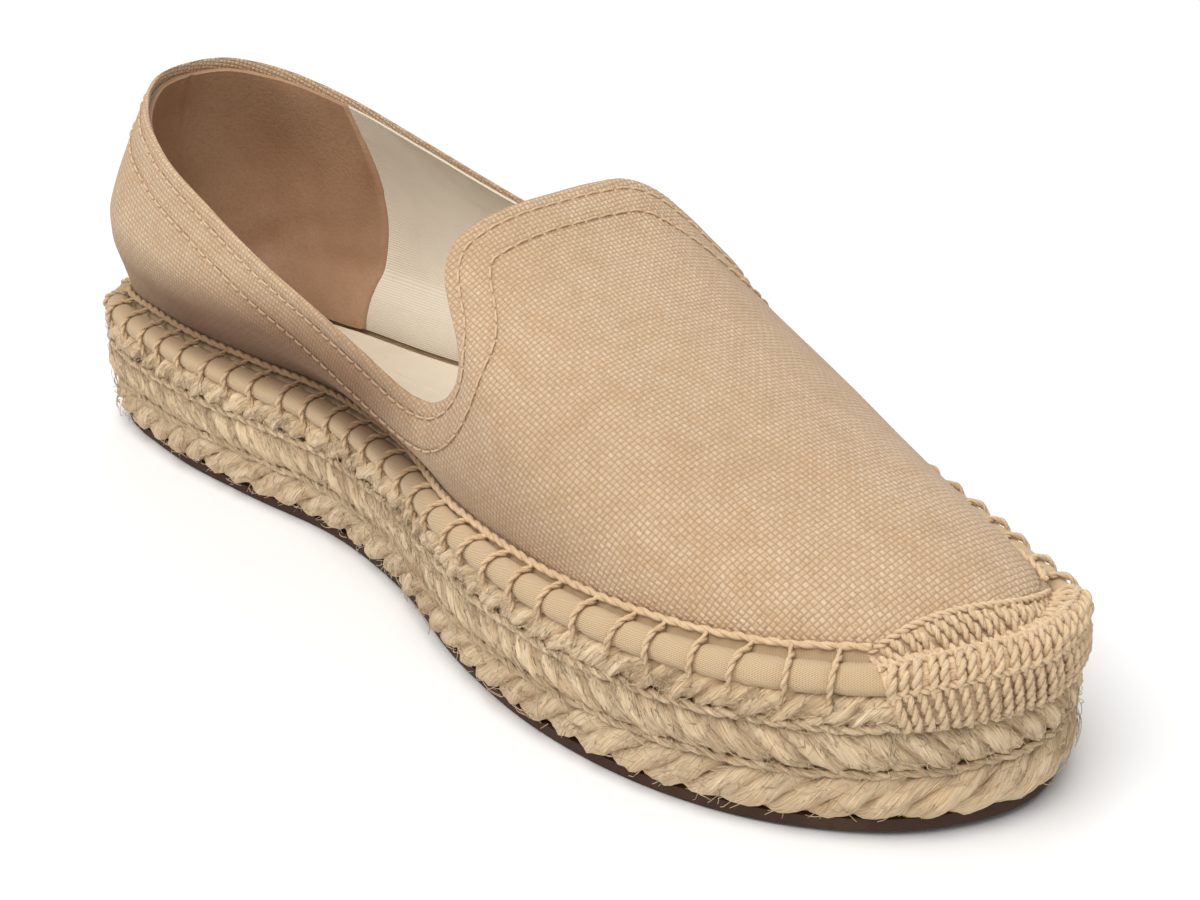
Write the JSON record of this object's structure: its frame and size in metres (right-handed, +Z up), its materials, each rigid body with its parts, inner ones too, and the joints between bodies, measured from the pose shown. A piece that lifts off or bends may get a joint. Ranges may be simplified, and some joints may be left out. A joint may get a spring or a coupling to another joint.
{
  "type": "espadrille",
  "caption": "Slip-on espadrille for the left foot: canvas upper with a high rounded vamp, piped and blanket-stitched to a plaited jute platform sole with a corded toe guard.",
  "frame": {"origin": "on the ground, at the middle of the shoe's box in plan", "axes": "+X towards the toe, +Y towards the wearer's left (the outer side of this left shoe), +Z up"},
  "size_m": [0.2736, 0.0976, 0.0817],
  "materials": {
    "canvas": "matte, thick plain-woven sand canvas",
    "cotton_lining": "matte, fine off-white cotton",
    "heel_lining": "soft brown suede-like",
    "insole_cloth": "matte off-white cotton",
    "piping_twill": "matte twill tape over a cord",
    "thread": "matte twisted cotton thread",
    "cord": "matte twisted cotton cord",
    "jute": "matte fibrous jute",
    "rubber": "matte dark brown rubber"
  },
  "bodies": {
    "root": {"outsole": "rubber", "jute_row_lower": "jute", "jute_row_middle": "jute", "jute_row_upper": "jute", "insole": "insole_cloth", "upper": "canvas", "piping": "piping_twill", "toe_guard": "cord"}
  },
  "joints": []
}
